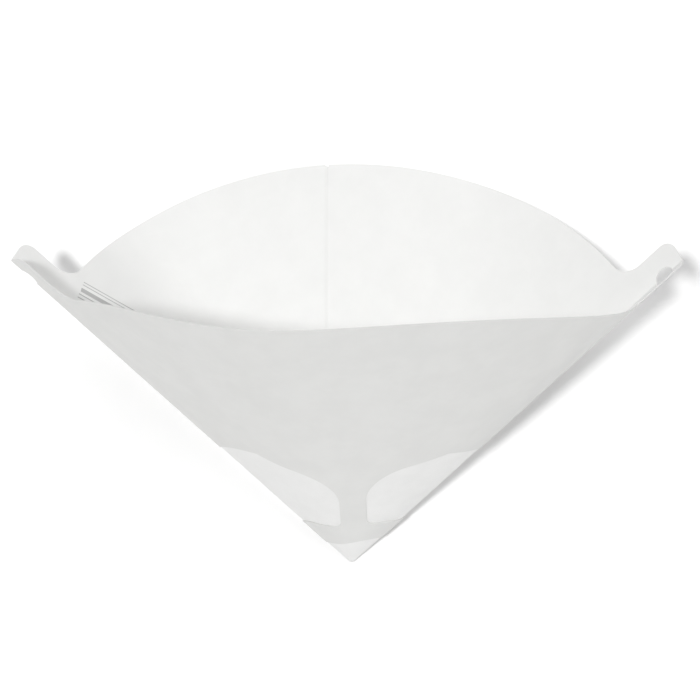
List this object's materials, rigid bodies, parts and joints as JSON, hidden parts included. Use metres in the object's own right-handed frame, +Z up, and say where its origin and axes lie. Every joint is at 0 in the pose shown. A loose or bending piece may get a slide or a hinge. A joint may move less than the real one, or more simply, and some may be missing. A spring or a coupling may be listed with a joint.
{
  "type": "paint strainer cone",
  "caption": "Paper funnel cone with windows of fine gauze near its tip, hanging ears with holes and a glued back lap, for straining paint.",
  "frame": {"origin": "middle of the lap's outer face, on which the cone lies, straight below the middle of the back wall", "axes": "+X across the cone to the right ear, +Y from the tip to the open mouth, +Z up from the back wall that it lies on to the crown of the front wall"},
  "size_m": [0.213, 0.1324, 0.1088],
  "materials": {
    "paper": "matt uncoated white board",
    "gauze": "fine woven nylon, half clear"
  },
  "bodies": {
    "root": {"paper_cone": "paper", "gauze_filter": "gauze"}
  },
  "joints": []
}
